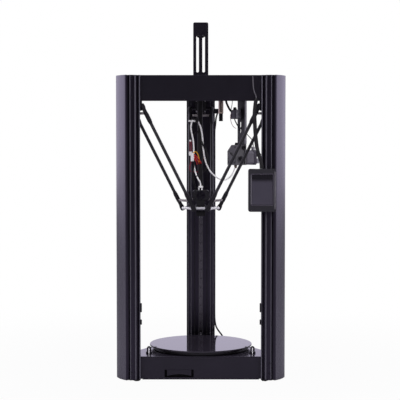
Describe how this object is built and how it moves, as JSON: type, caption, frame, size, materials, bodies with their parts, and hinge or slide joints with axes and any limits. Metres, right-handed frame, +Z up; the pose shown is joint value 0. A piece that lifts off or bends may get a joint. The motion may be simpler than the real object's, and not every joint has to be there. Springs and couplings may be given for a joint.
{
  "type": "delta printer",
  "caption": "Delta 3D printer: columns round a glass bed, rail carriages and paired rods carrying a hot end, side-hung extruder, screen and slotted spool arm.",
  "frame": {"origin": "centre of the object's box in plan, on the surface it stands on; the bed axis is 36 mm in front of it (towards -Y)", "axes": "+Z up, the printer faces -Y, +X to the right seen from the front"},
  "size_m": [0.4306, 0.402, 0.921],
  "materials": {
    "anodised_column": "satin dark anodised",
    "black_panel": "satin black powder coat",
    "gloss_deck": "gloss black",
    "dark_plastic": "dark grey moulded",
    "black_plastic": "black moulded",
    "rail_steel": "ground steel",
    "silver_metal": "machined",
    "spring_steel": "drawn wire",
    "carbon_rod": "carbon fibre tube",
    "black_rubber": "matte",
    "dark_glass": "polished dark",
    "white_tube": "smooth white",
    "circuit_board": "green board"
  },
  "bodies": {
    "frame": {"base_tray": "black_panel", "base_deck": "gloss_deck", "top_cover": "black_panel", "heated_bed": "dark_plastic", "glass_plate": "dark_glass", "power_supply": "silver_metal", "control_board": "circuit_board", "screen_case": "black_plastic", "screen_glass": "dark_glass", "spool_arm": "black_panel", "spool_spindle": "black_plastic", "extruder_bracket": "black_panel", "extruder_body": "dark_plastic", "extruder_motor": "black_panel", "bowden_tube": "white_tube", "effector_harness": "black_rubber", "screen_cable": "black_rubber", "column_rear": "anodised_column", "rail_rear": "rail_steel", "motor_rear": "black_panel", "belt_rear": "black_rubber", "column_left": "anodised_column", "rail_left": "rail_steel", "motor_left": "black_panel", "belt_left": "black_rubber", "column_right": "anodised_column", "rail_right": "rail_steel", "motor_right": "black_panel", "belt_right": "black_rubber"},
    "effector": {"effector_frame": "dark_plastic", "hotend": "silver_metal", "fan_cowl": "black_plastic", "rod_rear_a": "carbon_rod", "rod_rear_b": "carbon_rod", "rod_left_a": "carbon_rod", "rod_left_b": "carbon_rod", "rod_right_a": "carbon_rod", "rod_right_b": "carbon_rod", "spring_rear_lower": "spring_steel", "spring_rear_upper": "spring_steel", "spring_left_lower": "spring_steel", "spring_left_upper": "spring_steel", "spring_right_lower": "spring_steel", "spring_right_upper": "spring_steel"},
    "carriage_rear": {"carriage_rear": "dark_plastic"},
    "motor_pulley_rear": {"motor_pulley_rear": "silver_metal"},
    "idler_pulley_rear": {"idler_pulley_rear": "silver_metal"},
    "bed_clip_rear": {"bed_clip_rear": "rail_steel"},
    "carriage_left": {"carriage_left": "dark_plastic"},
    "motor_pulley_left": {"motor_pulley_left": "silver_metal"},
    "idler_pulley_left": {"idler_pulley_left": "silver_metal"},
    "bed_clip_left": {"bed_clip_left": "rail_steel"},
    "carriage_right": {"carriage_right": "dark_plastic"},
    "motor_pulley_right": {"motor_pulley_right": "silver_metal"},
    "idler_pulley_right": {"idler_pulley_right": "silver_metal"},
    "bed_clip_right": {"bed_clip_right": "rail_steel"},
    "fan": {"hotend_fan": "black_plastic"},
    "lever": {"extruder_lever": "black_plastic"},
    "knob": {"extruder_knob": "black_plastic"},
    "switch": {"power_switch": "black_plastic"}
  },
  "joints": [
    {"name": "effector_travel", "type": "slide", "parent": "frame", "child": "effector", "axis": [0, 0, 1], "range_m": [-0.325, 0.003], "deforming": ["bowden_tube", "effector_harness"]},
    {"name": "carriage_rear_travel", "type": "slide", "parent": "frame", "child": "carriage_rear", "axis": [0, 0, 1], "range_m": [-0.325, 0.003]},
    {"name": "motor_pulley_rear_turn", "type": "hinge", "parent": "frame", "child": "motor_pulley_rear", "pos_m": [0, 0.1576, 0.031], "axis": [0, 1, 0], "range_deg": [-1100, 15]},
    {"name": "idler_pulley_rear_turn", "type": "hinge", "parent": "frame", "child": "idler_pulley_rear", "pos_m": [0, 0.1576, 0.748], "axis": [0, 1, 0], "range_deg": [-1100, 15]},
    {"name": "bed_clip_rear_swing", "type": "hinge", "parent": "frame", "child": "bed_clip_rear", "pos_m": [0, 0.118, 0.07], "axis": [0, 0, 1], "range_deg": [0, 95]},
    {"name": "carriage_left_travel", "type": "slide", "parent": "frame", "child": "carriage_left", "axis": [0, 0, 1], "range_m": [-0.325, 0.003]},
    {"name": "motor_pulley_left_turn", "type": "hinge", "parent": "frame", "child": "motor_pulley_left", "pos_m": [-0.16766, -0.1328, 0.031], "axis": [-0.866, -0.5, 0], "range_deg": [-1100, 15]},
    {"name": "idler_pulley_left_turn", "type": "hinge", "parent": "frame", "child": "idler_pulley_left", "pos_m": [-0.16766, -0.1328, 0.748], "axis": [-0.866, -0.5, 0], "range_deg": [-1100, 15]},
    {"name": "bed_clip_left_swing", "type": "hinge", "parent": "frame", "child": "bed_clip_left", "pos_m": [-0.13337, -0.113, 0.07], "axis": [0, 0, 1], "range_deg": [0, 95]},
    {"name": "carriage_right_travel", "type": "slide", "parent": "frame", "child": "carriage_right", "axis": [0, 0, 1], "range_m": [-0.325, 0.003]},
    {"name": "motor_pulley_right_turn", "type": "hinge", "parent": "frame", "child": "motor_pulley_right", "pos_m": [0.16766, -0.1328, 0.031], "axis": [0.866, -0.5, 0], "range_deg": [-1100, 15]},
    {"name": "idler_pulley_right_turn", "type": "hinge", "parent": "frame", "child": "idler_pulley_right", "pos_m": [0.16766, -0.1328, 0.748], "axis": [0.866, -0.5, 0], "range_deg": [-1100, 15]},
    {"name": "bed_clip_right_swing", "type": "hinge", "parent": "frame", "child": "bed_clip_right", "pos_m": [0.13337, -0.113, 0.07], "axis": [0, 0, 1], "range_deg": [0, 95]},
    {"name": "fan_turn", "type": "hinge", "parent": "effector", "child": "fan", "pos_m": [0, -0.0595, 0.46635], "axis": [0, 1, 0], "continuous": true},
    {"name": "lever_squeeze", "type": "hinge", "parent": "frame", "child": "lever", "pos_m": [0.08428, -0.00697, 0.556], "axis": [0.866, 0.5, 0], "range_deg": [-12, 0], "stiffness_Nm_per_rad": 1.5},
    {"name": "knob_turn", "type": "hinge", "parent": "frame", "child": "knob", "pos_m": [0.10466, -0.00329, 0.5607], "axis": [0.5, -0.866, 0], "continuous": true},
    {"name": "switch_rock", "type": "hinge", "parent": "frame", "child": "switch", "pos_m": [0.08162, 0.07463, 0.032], "axis": [-0.5, 0.866, 0], "range_deg": [0, 16]}
  ],
  "couplings": [
    {"joint": "carriage_rear_travel", "follows": "effector_travel", "ratio": 1},
    {"joint": "motor_pulley_rear_turn", "follows": "effector_travel", "rad_per_m": 58.824},
    {"joint": "idler_pulley_rear_turn", "follows": "effector_travel", "rad_per_m": 58.824},
    {"joint": "carriage_left_travel", "follows": "effector_travel", "ratio": 1},
    {"joint": "motor_pulley_left_turn", "follows": "effector_travel", "rad_per_m": 58.824},
    {"joint": "idler_pulley_left_turn", "follows": "effector_travel", "rad_per_m": 58.824},
    {"joint": "carriage_right_travel", "follows": "effector_travel", "ratio": 1},
    {"joint": "motor_pulley_right_turn", "follows": "effector_travel", "rad_per_m": 58.824},
    {"joint": "idler_pulley_right_turn", "follows": "effector_travel", "rad_per_m": 58.824}
  ]
}
